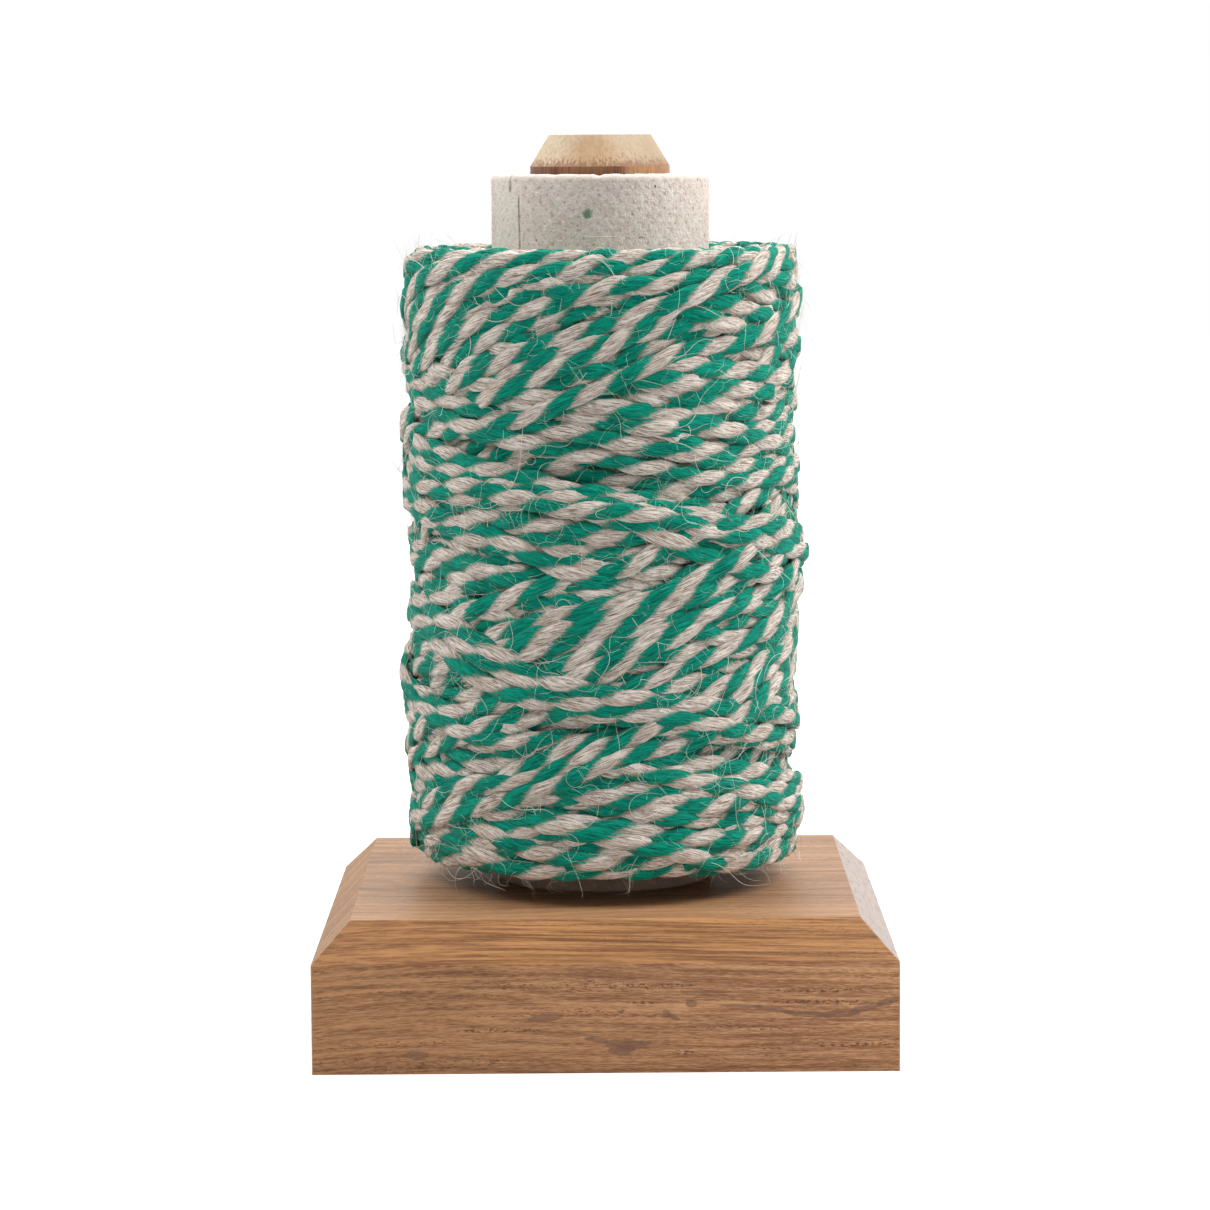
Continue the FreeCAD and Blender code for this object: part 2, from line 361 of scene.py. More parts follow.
def block_oak():
    """The block: grain along X that rises at the left of the front, flecked front, golden bevel."""
    material, tree, skin, place, normal = oak_parts("oak_block")
    parts = split(tree, place)
    left = sums(tree, "MAXIMUM", sums(tree, "SUBTRACT", -0.012, parts["X"]), 0.0)
    raised = sums(tree, "ADD", parts["Z"], times(tree, left, left, 1.35))
    bent = add(tree, "ShaderNodeCombineXYZ", {0: parts["X"], 1: parts["Y"], 2: raised}).outputs[0]
    faces_up = split(tree, normal)["Z"]
    across_grain = facing_along(tree, normal, (1, 0, 0))
    right_end = between(tree, parts["X"], -0.01, 0.01)
    # The right end's bevels are pale grey: painted light from the right
    end_bevels_painted_light = blend_colours(tree, right_end, from_hex("#AF9278"), from_hex("#BFBDBC"))
    # Front and end faces turn paler towards the right: painted light from the right
    paler = times(tree, between(tree, parts["X"], -0.05, 0.05), below(tree, faces_up, 0.3, 0.6))
    figure = use_group(tree, OAK_FIGURE, {
        "Position": stretch(tree, bent, (1, 1, 1), turn=(0, math.radians(-1.0), math.radians(1.0))),
        "Across Grain": across_grain,
        "Early Wood": blend_colours(tree, paler, from_hex("#6F4426"), from_hex("#8C5938")),
        "Late Wood": blend_colours(tree, paler, from_hex("#C49062"), from_hex("#DFAA7A")),
        "End Grain": blend_colours(tree, between(tree, faces_up, 0.3, 0.6), from_hex("#C9A680"), end_bevels_painted_light),
    })

    # The bevel cuts the grain aslant and looks golden, darker at the left. The flat top gets a painted sheen
    # that greys it and a painted shade that darkens it
    flat_top = between(tree, faces_up, 0.85, 0.97)
    on_bevel = sums(tree, "SUBTRACT", between(tree, faces_up, 0.25, 0.6), flat_top)
    gold = shaded(tree, figure["Streaks"], 0.42, 0.6, "#6D421F", "#B17D45")
    gold_share = times(tree, on_bevel, less(tree, across_grain), 0.6)
    colour = blend_colours(tree, gold_share, figure["Color"], gold)
    colour = tinted(tree, colour, "#7F5331", below(tree, parts["X"], -0.055, -0.015), gold_share, 0.5)
    # Painted sheen and painted shade on the flat top
    colour = tinted(tree, colour, "#9A846C", flat_top, 0.2)

    # On the bevels that cut the grain's ends, streaks run up the slope, fainter at the right
    end_bevel = sums(tree, "SUBTRACT", between(tree, across_grain, 0.4, 0.6),
                     between(tree, across_grain, 0.75, 0.95))
    slope_lines = noise(tree, stretch(tree, place, (28, 560, 0)), detail=4.0, roughness=0.7)
    at_left = less(tree, times(tree, right_end, 0.75))
    colour = tinted(tree, colour, "#80543A", below(tree, slope_lines, 0.4, 0.5), end_bevel, at_left, 0.38)
    colour = tinted(tree, colour, "#CDB08E", between(tree, slope_lines, 0.52, 0.58), end_bevel, at_left, 0.3)

    # Rows of pores, and ray flecks with ragged outlines
    ragged = noise(tree, stretch(tree, place, (500, 500, 1500)), roughness=0.6)
    on_front = between(tree, times(tree, parts["Y"], -1.0), 0.0540, 0.0546)
    dashes = between(tree, noise(tree, stretch(tree, place, (1100, 1, 2600)), detail=1.0), 0.5, 0.58)
    for across, up, half_length in FRONT_PORES:
        reach = around_spot(tree, place, across, up, half_length, PORE_HALF_HEIGHT, 0.0)
        colour = tinted(tree, colour, "#5A3420", below(tree, reach, 0.8, 1.1), dashes, on_front, 0.8)
    for fleck in FRONT_FLECKS:
        reach = swayed(tree, around_spot(tree, place, *fleck), ragged, 1.3)
        colour = tinted(tree, colour, "#745041", below(tree, reach, 0.85, 1.1), on_front, 0.62)
    finish_oak(tree, skin, colour, figure)
    return material


def spindle_oak():
    """The spindle: grain along Z, a cream bevel with a golden patch, and a darker, reddish shaft."""
    material, tree, skin, place, normal = oak_parts("oak_spindle")
    parts = split(tree, place)
    figure = use_group(tree, OAK_FIGURE, {
        "Position": stretch(tree, place, (1, 1, 1), turn=(0, math.radians(90), 0), shift=(0.02, 0.0, 0.01)),
        "Across Grain": facing_along(tree, normal, (0, 0, 1)),
        "Ring Spacing": 0.0011,
        "Early Wood": shaded(tree, parts["X"], 3.5 * MM, 6 * MM, "#54301D", "#835A3C"),
        "Late Wood": shaded(tree, parts["X"], 3.5 * MM, 6 * MM, "#96664A", "#C79B70"),
        "End Grain": from_hex("#E4CFAE"),
    })
    on_bevel = between(tree, split(tree, normal)["Z"], 0.2, 0.45)
    # The bevel is cream: partly the end grain's own pale colour, partly painted light from above
    cream = shaded(tree, figure["Streaks"], 0.36, 0.62, "#C8AC8A", "#DDCDB5")
    # Its right flank is darker: painted shade
    cream = tinted(tree, cream, "#9F8A72", between(tree, parts["X"], -1 * MM, 11 * MM), 0.85)
    colour = blend_colours(tree, times(tree, on_bevel, 0.85), figure["Color"], cream)

    # Golden patch at the front, and end fibres that darken towards the bevel's foot
    away = measured(tree, "DISTANCE", place, (-1.5 * MM, -11.5 * MM, 171.5 * MM))
    colour = tinted(tree, colour, "#AE865A", below(tree, away, 1.0 * MM, 8.0 * MM), 0.65)
    torn = noise(tree, stretch(tree, place, (2200, 2200, 500)), detail=2.0)
    foot = below(tree, swayed(tree, parts["Z"], torn, 6 * MM), 168.4 * MM, 170.4 * MM)
    colour = tinted(tree, colour, "#86583A", foot, on_bevel, 0.75)
    finish_oak(tree, skin, colour, figure)
    return material


# Inclusions in the tube's board: place across and below the rim, radius (all in mm), colour
PULP_FLECKS = [
    (-2.5, 7.5, 1.0, "#4E7F66"), (10.6, 2.5, 0.3, "#3A2A24"), (18.9, 1.2, 0.4, "#857970"),
    (3.4, 4.5, 0.3, "#A9BBCB"), (-13.0, 9.0, 0.2, "#5F544C"), (-4.4, 9.8, 0.18, "#4F453F"),
    (-1.8, 4.4, 0.16, "#4A4039"), (-12.4, 12.6, 0.3, "#6B5E54"), (7.6, 12.2, 0.28, "#6B5E54"),
    (13.5, 7.7, 0.3, "#8A7D73"), (6.2, 7.7, 0.3, "#857970"),
]


def grey_card():
    """Recycled board with an embossed diamond, coloured flecks, a pale torn rim and a dark lap."""
    material, tree, skin = new_material("grey_card")
    place = own_place(tree)
    parts = split(tree, stored(tree, "board"))
    fleck = use_group(tree, FIBRE_FLECK, {"Position": place, "Fibre Scale": 1500.0, "Mottle Scale": 420.0})
    fibres, mottle = fleck["Fibres"], fleck["Mottle"]
    pulp = noise(tree, stretch(tree, place, (3600, 3600, 2200)), roughness=0.6)
    threads = noise(tree, stretch(tree, place, (900, 900, 3200), turn=(0.5, 0.5, 0)), roughness=0.7)
    smooth_side = between(tree, parts["X"], 0.1235, 0.1250)
    colour = shaded(tree, mottle, 0.3, 0.7, "#DAC9C1", "#E4D7CF")
    colour = tinted(tree, colour, "#E3D9CF", smooth_side)
    colour = tinted(tree, colour, "#AC998C", between(tree, fibres, 0.5, 0.75), 0.6)
    colour = tinted(tree, colour, "#F2E8DD", between(tree, threads, 0.53, 0.63), 0.75)
    colour = tinted(tree, colour, "#E6DBD0", between(tree, pulp, 0.55, 0.75), 0.4)

    # Painted shade in the hollows of the embossing, weaker on the smooth side
    hollow = times(tree, fibres, 1.3)
    shifted = swayed(tree, parts["X"], mottle, 2.0 * MM)
    for lean, weight in ((1, -0.62), (-1, -0.38)):
        phase = sums(tree, "MULTIPLY_ADD", parts["Y"], lean, shifted)
        wave = sums(tree, "COSINE", times(tree, phase, TURN / EMBOSS_PITCH))
        hollow = sums(tree, "MULTIPLY_ADD", wave, weight, hollow)
    painted_hollow_shade = less(tree, times(tree, smooth_side, 0.38), 0.42)
    colour = tinted(tree, colour, "#8D7A6D", between(tree, hollow, 1.15, 1.75), painted_hollow_shade)

    # Inclusions in the pulp
    for across, under_rim, radius, swatch in PULP_FLECKS:
        front = -math.sqrt(TUBE_RADIUS ** 2 - (across * MM) ** 2)
        away = measured(tree, "DISTANCE", place, (across * MM, front, TUBE_HIGH.z - under_rim * MM))
        ragged = swayed(tree, away, fibres, radius * 1.6 * MM)
        colour = tinted(tree, colour, swatch, below(tree, ragged, radius * 0.6 * MM, radius * 1.1 * MM), 0.85)

    # The lap of the outer ply, dark on its open side
    open_side = below(tree, parts["X"], 0.05 * MM, 0.35 * MM)
    colour = tinted(tree, colour, "#8A6552", open_side, times(tree, parts["Z"], 0.2))

    # Torn pale fibres at the rim, and a lower end that is darker and browner
    length = TUBE_HIGH.z - TUBE_LOW.z
    torn = swayed(tree, parts["Y"], pulp, 1.6 * MM)
    colour = tinted(tree, colour, "#E4D9CD", between(tree, torn, length - 1.5 * MM, length - 0.6 * MM), 0.6)
    colour = tinted(tree, colour, "#9C8270", below(tree, parts["Y"], 5 * MM, 9 * MM), 0.75)

    height = sums(tree, "MULTIPLY_ADD", pulp, 0.4, sums(tree, "MULTIPLY_ADD", mottle, 0.8, fibres))
    fill(tree, skin, {"Base Color": colour, "Normal": bump(tree, height, 0.9, 0.25 * MM),
                      "Roughness": 0.92, "Specular IOR Level": 0.2})
    return material


def twisted_jute():
    """Green and undyed plies. Lay says where a point is in its ply, strand where it is in the twine."""
    material, tree, skin = new_material("twisted_jute")
    strand = stored(tree, "strand")
    across_ply = split(tree, stored(tree, "lay"))["X"]
    along_twine = stretch(tree, strand, (1, 1, 42))
    fleck = use_group(tree, FIBRE_FLECK, {"Position": along_twine, "Fibre Scale": 8.0, "Mottle Scale": 1.6})
    fibres = fleck["Fibres"]
    single = noise(tree, stretch(tree, strand, (20, 20, 500), shift=(3, 1, 2)), detail=2.0)

    undyed = shaded(tree, fibres, 0.32, 0.62, "#8A7262", "#FAF1E7")
    undyed = tinted(tree, undyed, "#BBA28E", between(tree, fleck["Mottle"], 0.42, 0.8), 0.5)
    undyed = tinted(tree, undyed, "#7D5843", between(tree, single, 0.6, 0.68), 0.45)
    green = shaded(tree, fibres, 0.3, 0.66, "#00544A", "#00A588")
    green = tinted(tree, green, "#8CCDB6", between(tree, single, 0.66, 0.76), 0.4)

    # The plies meet where a few fibres cross over, and the groove between them gets a painted shade
    edge = swayed(tree, across_ply, fibres, 3.4)
    colour = blend_colours(tree, between(tree, edge, -0.06, 0.06), undyed, green)
    painted_groove_shade = times(tree, below(tree, sums(tree, "ABSOLUTE", edge), 0.0, 0.3), 0.22)
    colour = blend_colours(tree, painted_groove_shade, colour, from_hex("#4A463A"), "MULTIPLY")
    fill(tree, skin, {"Base Color": colour, "Normal": bump(tree, fibres, 1.0, 0.3 * MM),
                      "Roughness": 0.85, "Specular IOR Level": 0.05, "Sheen Weight": 0.1})
    return material


def deep_jute_painted_shade():
    """The layers that show between strands, in colours darker than the twine's: painted shade."""
    material, tree, skin = new_material("deep_jute_painted_shade")
    long_way = stretch(tree, own_place(tree), (120, 120, 420))
    fleck = use_group(tree, FIBRE_FLECK, {"Position": long_way, "Fibre Scale": 5.0, "Mottle Scale": 1.0})
    colour = shaded(tree, fleck["Mottle"], 0.46, 0.54, "#7D6B5C", "#00593F")
    colour = tinted(tree, colour, "#4C4238", between(tree, fleck["Fibres"], 0.4, 0.7))
    fill(tree, skin, {"Base Color": colour, "Normal": bump(tree, fleck["Fibres"], 0.9, 0.5 * MM),
                      "Roughness": 0.95})
    return material


def loose_fibre(name, tint, root_tint):
    """Single jute fibres, a little darker in places along their length."""
    material, tree, skin = new_material(name)
    fleck = use_group(tree, FIBRE_FLECK, {"Position": own_place(tree), "Fibre Scale": 900.0,
                                          "Mottle Scale": 200.0})
    fill(tree, skin, {"Base Color": shaded(tree, fleck["Mottle"], 0.3, 0.7, root_tint, tint),
                      "Roughness": 0.6})
    return material


# Mesh helpers

def make_object(name, points, faces, material):
    mesh = bpy.data.meshes.new(name)
    mesh.from_pydata(points, [], faces)
    mesh.materials.append(material)
    mesh.polygons.foreach_set("use_smooth", [True] * len(mesh.polygons))
    mesh.update()
    piece = bpy.data.objects.new(name, mesh)
    bpy.context.scene.collection.objects.link(piece)
    return piece


def tube_faces(rings, corners, start=0):
    """Four-cornered faces round a tube of rings, which stays open at both ends."""
    ring = np.arange(rings - 1)[:, None] * corners
    here = np.arange(corners)[None, :]
    after = (here + 1) % corners
    low = start + ring + here
    low_after = start + ring + after
    sides = np.stack([low, low_after, low_after + corners, low + corners], axis=-1).reshape(-1, 4)
    return sides.tolist()


def ring_faces(rows, sides):
    """Faces of a closed ring whose section is a closed outline of the given number of rows."""
    row = np.arange(rows)[:, None]
    side = np.arange(sides)[None, :]
    above, after = (row + 1) % rows, (side + 1) % sides
    corners = [row * sides + side, row * sides + after, above * sides + after, above * sides + side]
    return np.stack(corners, axis=-1).reshape(-1, 4).tolist()


def smooth_noise(length, wave, step):
    """Gentle random waves about zero, one value a step, with the given wavelength."""
    knots = max(4, int(length * step / wave) + 4)
    values = rng.normal(size=knots)
    at = np.linspace(0, knots - 2.001, length)
    low = at.astype(int)
    share = at - low
    share = share * share * (3 - 2 * share)
    return values[low] * (1 - share) + values[low + 1] * share


# The winding

class Drum:
    """How high the winding stands at each place round and up the spool."""

    def __init__(self, length):
        self.length = length
        self.round_cells = int(TURN * ROLL_RADIUS / STEP)
        self.up_cells = int(length / STEP) + 1
        self.height = np.zeros((self.round_cells, self.up_cells))

    def cells(self, angle, up):
        across = (angle / TURN * self.round_cells).astype(int) % self.round_cells
        along = np.clip((up / STEP).astype(int), 0, self.up_cells - 1)
        return across, along

    def bed(self):
        """The mean height under a strand that is laid anywhere."""
        reach = int(TWINE_WIDTH * 0.35 / STEP)
        total = np.zeros_like(self.height)
        padded = np.pad(self.height, ((0, 0), (reach, reach)), mode="edge")
        for across in range(-2, 3):
            for along in range(2 * reach + 1):
                total += np.roll(padded[:, along:along + self.up_cells], across, axis=0)
        return total / (5 * (2 * reach + 1))

    def evened_out(self):
        """The height of the winding without its ridges and hollows."""
        reach = int(BROAD_REACH / STEP)
        wrapped = np.pad(self.height, ((reach, reach), (0, 0)), mode="wrap")
        wrapped = np.apply_along_axis(softened, 0, wrapped, reach)[reach:-reach]
        return np.apply_along_axis(softened, 1, wrapped, reach)

    def press(self, angle, up, centre):
        """Raise the surface to the top of a strand that was laid here."""
        for offset, crown in strand_crown(STEP):
            np.maximum.at(self.height, self.cells(angle, up + offset), centre + crown)

    def cover(self, angle, up, centre):
        """How deep a strand lies under later ones, at the place across it where it lies least deep."""
        depths = [self.height[self.cells(angle, up + offset)] - centre - crown
                  for offset, crown in strand_crown(TWINE_WIDTH * 0.44)]
        return np.min(depths, axis=0)


def strand_crown(spacing):
    """Places across a strand, and how high its surface stands there above its centre."""
    reach = int(TWINE_WIDTH / 2 / spacing)
    offsets = np.arange(-reach, reach + 1) * spacing
    crowns = TWINE_HEIGHT / 2 * np.sqrt(np.maximum(0, 1 - (offsets / (TWINE_WIDTH / 2)) ** 2))
    return list(zip(offsets, crowns))


def eased(share):
    """From 0 to 1, starting and ending at rest, as the guide slows to turn back."""
    rest = REVERSAL_SHARE
    middle = (share - rest / 2) / (1 - rest)
    starting = share ** 2 / (2 * rest * (1 - rest))
    ending = 1 - (1 - share) ** 2 / (2 * rest * (1 - rest))
    return np.where(share < rest, starting, np.where(share > 1 - rest, ending, middle))


def softened(values, reach):
    """A running average with a rounded window."""
    window = np.hanning(2 * reach + 3)
    window /= window.sum()
    return np.convolve(np.pad(values, reach + 1, mode="edge"), window, mode="valid")


def pulled_tight(support):
    """A strand under tension bridges narrow hollows and bends only gently over ridges."""
    reach = int(BRIDGE_REACH / STEP)
    falls = (np.arange(-reach, reach + 1) * STEP) ** 2 / (2 * BRIDGE_RADIUS)
    padded = np.pad(support, reach, mode="edge")
    shifted = [padded[start:start + len(support)] for start in range(2 * reach + 1)]
    lifted = np.max([row - fall for row, fall in zip(shifted, falls)], axis=0)
    padded = np.pad(lifted, reach, mode="edge")
    shifted = [padded[start:start + len(support)] for start in range(2 * reach + 1)]
    return softened(np.min([row + fall for row, fall in zip(shifted, falls)], axis=0), 4)


def laid_pass(drum, bed, fall, start, up_end, run, wait):
    """One pass of the guide: waits at the end, runs to the other, and slips into hollows beside it."""
    angle_start, up_start = start
    share = np.linspace(0, 1, int(run / STEP))
    wander = smooth_noise(len(share), 34 * MM, STEP) * 0.35 * MM * np.sin(share * math.pi)
    up = up_start + (up_end - up_start) * eased(share) + wander
    up = np.concatenate([np.full(int(wait / STEP), up_start), up])
    count = len(up)
    angle = angle_start + np.arange(count) * STEP / ROLL_RADIUS

    share = np.arange(count) / count
    free = np.minimum(1, np.minimum(share, 1 - share) * count * STEP / (8 * MM))
    low, high = TWINE_WIDTH / 2, drum.length - TWINE_WIDTH / 2
    slip = np.zeros(count)
    for _ in range(SETTLING_ROUNDS):
        push = fall[drum.cells(angle, np.clip(up + slip * free, low, high))]
        slip = np.clip(softened(slip - push * SETTLING_STEP * MM, STIFFNESS), -WIDEST_SLIP, WIDEST_SLIP)
    up = softened(np.clip(up + slip * free, low, high), 12)
    return angle, up, pulled_tight(bed[drum.cells(angle, up)])


class Band:
    """Parallel turns side by side: after each run up and down the guide is one twine further round."""

    def __init__(self, length):
        around = TURN * ROLL_RADIUS
        turns = rng.choice(TURNS_THERE_AND_BACK)
        slope = math.atan(2 * length / (turns * around))
        advance = TWINE_WIDTH / math.sin(slope) * rng.choice([-1, 1])
        there_and_back = turns * around + advance
        self.cycles = rng.integers(*CYCLES_IN_A_BAND)
        self.runs = {True: there_and_back * RISING_SHARE, False: there_and_back * (1 - RISING_SHARE)}
        self.wobbles = {rising: TWIST_WOBBLE * smooth_noise(2400, 70 * MM, STEP) for rising in (True, False)}
        self.first_twist = rng.random() * TURN
        self.twist_steps = {}
        for rising, run in self.runs.items():
            slope = math.atan(length / run)
            across = math.sin(slope) / math.tan(PLY_LEAN) * (1 if rising else -1)
            self.twist_steps[rising] = LAY_HAND * TURN * advance / TWIST_PITCH * (math.cos(slope) + across)

    def twist(self, rising, cycle, count):
        """How far the twine has turned about itself, so that neighbours' plies line up aslant."""
        back = np.arange(count)[::-1] * STEP
        own = 0.35 * smooth_noise(count, 45 * MM, STEP)
        shared = self.wobbles[rising][-count:] + self.first_twist + cycle * self.twist_steps[rising]
        return own + shared - LAY_HAND * TURN * back / TWIST_PITCH


def carried_on(values, before, reach):
    """The values, bent at their start so that they carry on from the value before."""
    fading = np.maximum(0, 1 - np.arange(len(values)) * STEP / reach)
    return values + (before - values[0]) * fading ** 2 * (3 - 2 * fading)


def lay_the_twine():
    """Wind band after band, each one starting where it can sink deepest."""
    drum = Drum(ROLL_HIGH.z - ROLL_LOW.z)
    start = (0.4, TWINE_WIDTH / 2)
    laid = []
    while len(laid) < PASSES:
        band = Band(drum.length)
        for number in range(2 * band.cycles):
            rising = number % 2 == 0
            inset = TWINE_WIDTH / 2 + END_SCATTER * rng.random() ** 1.3
            up_end = drum.length - inset if rising else inset
            bed = drum.bed()
            fall = np.gradient(bed, STEP, axis=1)
            best_cost = None
            for attempt in range(STARTS_TRIED if number == 0 else 1):
                wait = LONGEST_WAIT * (attempt + rng.random()) / STARTS_TRIED if number == 0 else 0.0
                angle, up, support = laid_pass(drum, bed, fall, start, up_end, band.runs[rising], wait)
                cost = support.mean() + 0.05 * MM * rng.random()
                if best_cost is None or cost < best_cost:
                    best_cost, chosen = cost, (angle, up, support + TWINE_HEIGHT * SINKING)
            angle, up, centre = chosen
            twist = band.twist(rising, number // 2, len(angle))
            if laid:
                centre = carried_on(centre, laid[-1][2][-1], CENTRE_EASE)
                whole_turns = round((laid[-1][3][-1] - twist[0]) / TURN) * TURN
                twist = carried_on(twist + whole_turns, laid[-1][3][-1], TWIST_EASE)
            drum.press(angle, up, centre)
            laid.append((angle, up, centre, twist))
            start = (angle[-1], up[-1])
    return drum, laid


class Winding:
    """The laid twine as it stands on the spool, pressed together by its own tension."""

    def __init__(self):
        self.drum, self.laid = lay_the_twine()
        self.broad = self.drum.evened_out()
        self.level = self.broad.mean()
        self.inner = 0.0
        rounds, ups = np.indices(self.drum.height.shape)
        angle, up = (rounds + 0.5) * TURN / self.drum.round_cells, (ups + 0.5) * STEP
        outside = self.radius(angle, up, self.drum.height)
        self.inner = ROLL_RADIUS - 0.2 * MM - np.percentile(outside, 93)
        self.outside = outside + self.inner
        self.lowest = np.percentile(self.outside, 4)

    def radius(self, angle, up, height):
        """Radius of a strand that was laid at a height, once tension has evened the winding out."""
        broad = self.broad[self.drum.cells(angle, up)]
        room = np.minimum(up, self.drum.length - up)
        shoulder = SHOULDER_DROP * np.maximum(0, 1 - room / SHOULDER_ROUND) ** 2
        evened = BROAD_SHARE * (broad - self.level) + PRESSED_SHARE * (height - broad)
        return self.inner + evened - shoulder

    def surface(self, angle, up):
        """Radius of the winding's outside."""
        return self.outside[self.drum.cells(angle, up)]

    def strands(self):
        """The stretches of twine that show at the side or on an end."""
        # The passes are one unbroken line of twine, so a stretch may run on from pass to pass
        angle, up, centre, twist = (np.concatenate(values) for values in zip(*self.laid))
        room = np.minimum(up, self.drum.length - up)
        hidden = (self.drum.cover(angle, up, centre) > HIDDEN_DEPTH) & (room > END_ZONE)
        found = []
        for first, last in shown_runs(hidden):
            run = slice(first, last)
            radius = self.radius(angle[run], up[run], centre[run])
            radius = radius - dive(last - first, first > 0, last < len(angle))
            found.append((angle[run], up[run], radius, twist[run]))
        return found + self.end_turns()

    def end_turns(self):
        """The inner turns that show on the two ends, spiralling in to the tube."""
        turns_found = []
        inside = TUBE_RADIUS + TWINE_WIDTH * 0.5
        outside = self.lowest - 1.5 * MM
        turns = (outside - inside) / (TWINE_WIDTH * 0.68)
        steps = int(turns * TURN * (inside + outside) / 2 / STEP)
        for top in (False, True):
            share = np.linspace(0, 1, steps)
            radius = outside + (inside - outside) * share + smooth_noise(steps, 40 * MM, STEP) * 0.35 * MM
            depth = TWINE_WIDTH * 0.7 + np.abs(smooth_noise(steps, 30 * MM, STEP)) * 0.8 * MM
            angle = share * turns * TURN + (2.0 if top else 0.5)
            up = self.drum.length - depth if top else depth
            twist = LAY_HAND * TURN * angle * radius / TWIST_PITCH
            turns_found.append((angle, up, np.maximum(radius, inside), twist))
        return turns_found


def dive(count, at_start, at_end):
    """How far a strand goes down at the cut ends of a stretch, to pass under the others."""
    index = np.arange(count)
    depth = np.zeros(count)
    for cut, away in ((at_start, index), (at_end, index[::-1])):
        if cut:
            depth = np.maximum(depth, DIVE_DEPTH * np.maximum(0, 1 - away * STEP / DIVE_LENGTH) ** 2)
    return depth


def shown_runs(hidden):
    """First and last step of each stretch that isn't deep under later passes."""
    margin = int(BURIED_MARGIN / STEP)
    buried = hidden.copy()
    for offset in range(1, margin):
        buried[offset:] &= hidden[:-offset]
        buried[:-offset] &= hidden[offset:]
    edges = np.flatnonzero(np.diff(np.concatenate([[True], buried, [True]]).astype(int)))
    return [(first, last) for first, last in zip(edges[::2], edges[1::2]) if last - first > SHORTEST_RUN]


def ring_stations(angle, up, radius, twist):
    """A strand's centre line with a point at every ring spacing, its twist, and the length so far."""
    line = np.stack([radius * np.cos(angle), radius * np.sin(angle), ROLL_LOW.z + up, twist], axis=1)
    gaps = np.linalg.norm(np.diff(line[:, :3], axis=0), axis=1)
    travel = np.concatenate([[0], np.cumsum(gaps)])
    stations = np.linspace(0, travel[-1], round(travel[-1] / RING_SPACING) + 1)
    stationed = np.stack([np.interp(stations, travel, line[:, column]) for column in range(4)], axis=1)
    return stationed[:, :3], stationed[:, 3], stations


def twine_rings(centres, twist, stations):
    """Rings of points round the centre line that turn with the lay, and each point's places in the twine."""
    count = len(centres)
    forward = np.gradient(centres, axis=0)
    forward /= np.linalg.norm(forward, axis=1, keepdims=True)
    outward = centres * np.array([1, 1, 0])
    outward -= (outward * forward).sum(axis=1, keepdims=True) * forward
    outward /= np.linalg.norm(outward, axis=1, keepdims=True)
    side = np.cross(forward, outward)

    around = np.arange(CORNERS_ROUND) * TURN / CORNERS_ROUND
    reach = PLY_WAIST + (PLY_REACH - PLY_WAIST) * np.abs(np.cos(around)) ** 1.3
    thick_green = 1 + 0.08 * smooth_noise(count, 22 * MM, RING_SPACING)
    thick_undyed = 1 + 0.08 * smooth_noise(count, 22 * MM, RING_SPACING)
    green_side = np.cos(around) > 0
    thickness = np.where(green_side[None, :], thick_green[:, None], thick_undyed[:, None])
    reach = reach[None, :] * np.clip(thickness, 0.8, 1.18)

    angle = twist[:, None] + around[None, :]
    crown = CROWN_LIMIT * np.tanh(reach * np.cos(angle) * 0.85 / CROWN_LIMIT)
    points = (centres[:, None, :] + crown[:, :, None] * outward[:, None, :]
              + (reach * np.sin(angle))[:, :, None] * side[:, None, :])
    shape = (count, CORNERS_ROUND)
    travelled = np.broadcast_to(stations[:, None], shape)
    lay = np.stack([np.broadcast_to(np.cos(around), shape), np.broadcast_to(np.sin(around), shape),
                    travelled], axis=-1)
    strand = np.stack([np.cos(angle), np.sin(angle), travelled], axis=-1)
    return points, lay, strand


class TwinePieces:
    """Gathers twisted strands into pieces of a size that a file can hold."""

    def __init__(self, material):
        self.material = material
        self.pieces = []
        self.clear()

    def clear(self):
        self.points, self.lays, self.strands, self.faces, self.lengths = [], [], [], [], []
        self.held = 0

    def take(self, points, lay, strand):
        """Hold one closed strand, in a new piece where this one would grow too large."""
        count = len(points)
        if (len(self.faces) + count * CORNERS_ROUND) * 2 > MOST_FACES:
            self.close()
        first, last = self.held, self.held + (count - 1) * CORNERS_ROUND
        self.faces += tube_faces(count, CORNERS_ROUND, first)
        self.faces.append(list(range(first + CORNERS_ROUND - 1, first - 1, -1)))
        self.faces.append(list(range(last, last + CORNERS_ROUND)))
        self.points.append(points.reshape(-1, 3))
        self.lays.append(lay.reshape(-1, 3))
        self.strands.append(strand.reshape(-1, 3))
        self.lengths.append(count)
        self.held += count * CORNERS_ROUND

    def close(self):
        points = np.concatenate(self.points)
        name = f"winding_{len(self.pieces) + 1}"
        piece = make_object(name, points.tolist(), self.faces, self.material)
        set_places(piece, "lay", np.concatenate(self.lays))
        set_places(piece, "strand", np.concatenate(self.strands))
        unroll_strands(piece, self.lengths)
        self.pieces.append(piece)
        self.clear()


def set_places(piece, name, places):
    """Store a vector for each point, which the finish reads its pattern by."""
    attribute = piece.data.attributes.new(name, "FLOAT_VECTOR", "POINT")
    attribute.data.foreach_set("vector", np.asarray(places, dtype=np.float32).ravel())


